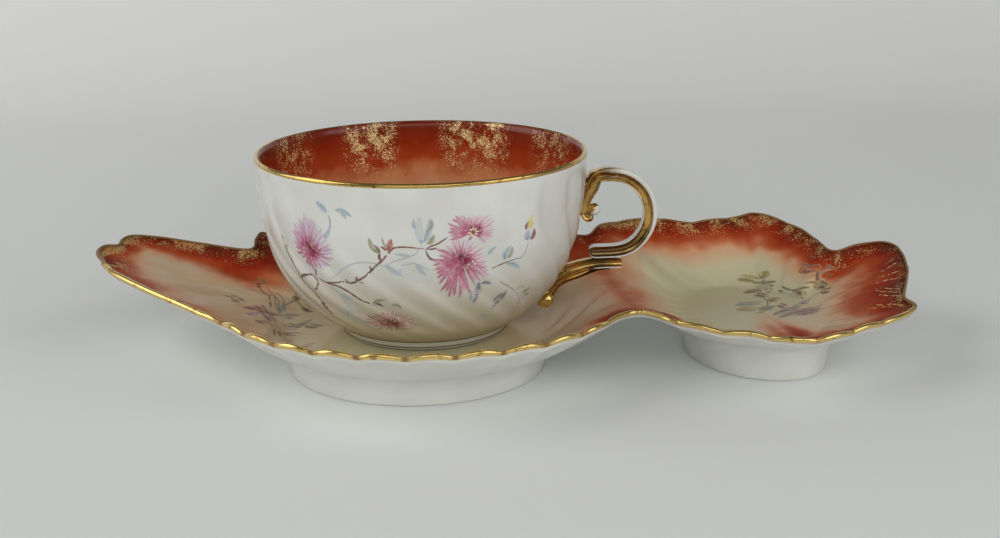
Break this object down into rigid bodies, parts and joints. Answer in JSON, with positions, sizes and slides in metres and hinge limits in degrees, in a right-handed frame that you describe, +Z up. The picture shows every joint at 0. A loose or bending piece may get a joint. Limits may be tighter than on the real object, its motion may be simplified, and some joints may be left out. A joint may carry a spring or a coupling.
{
  "type": "breakfast cup and saucer",
  "caption": "Fluted porcelain cup with a gilded scroll handle, standing in a lobed, scalloped saucer with a side dish; the cup lifts off.",
  "frame": {"origin": "on the table, under the middle of the set's bounding box", "axes": "+X along the saucer from the leaf tip to the side dish, the way the cup's handle points; +Z up"},
  "size_m": [0.2763, 0.139, 0.0702],
  "materials": {
    "white_glaze": "clear glossy glaze over white porcelain",
    "painted_glaze": "ivory glaze shaded to iron red towards the edge, with sponged gold",
    "fired_gold": "burnished gold film fired on the porcelain edge",
    "gilded_glaze": "white glaze with burnished gold in the channels"
  },
  "bodies": {
    "saucer": {"saucer_dish": "painted_glaze", "saucer_gilt_edge": "fired_gold", "saucer_main_foot": "white_glaze", "saucer_side_foot": "white_glaze"},
    "cup": {"cup_bowl": "white_glaze", "cup_foot_ring": "white_glaze", "cup_gilt_lip": "fired_gold", "handle_scroll": "gilded_glaze", "handle_upper_pearl": "gilded_glaze", "handle_bracket": "gilded_glaze", "handle_lower_pearl": "gilded_glaze"}
  },
  "joints": [
    {"name": "cup_lift", "type": "slide", "parent": "saucer", "child": "cup", "axis": [0, 0, 1], "range_m": [0, 0.08]}
  ]
}
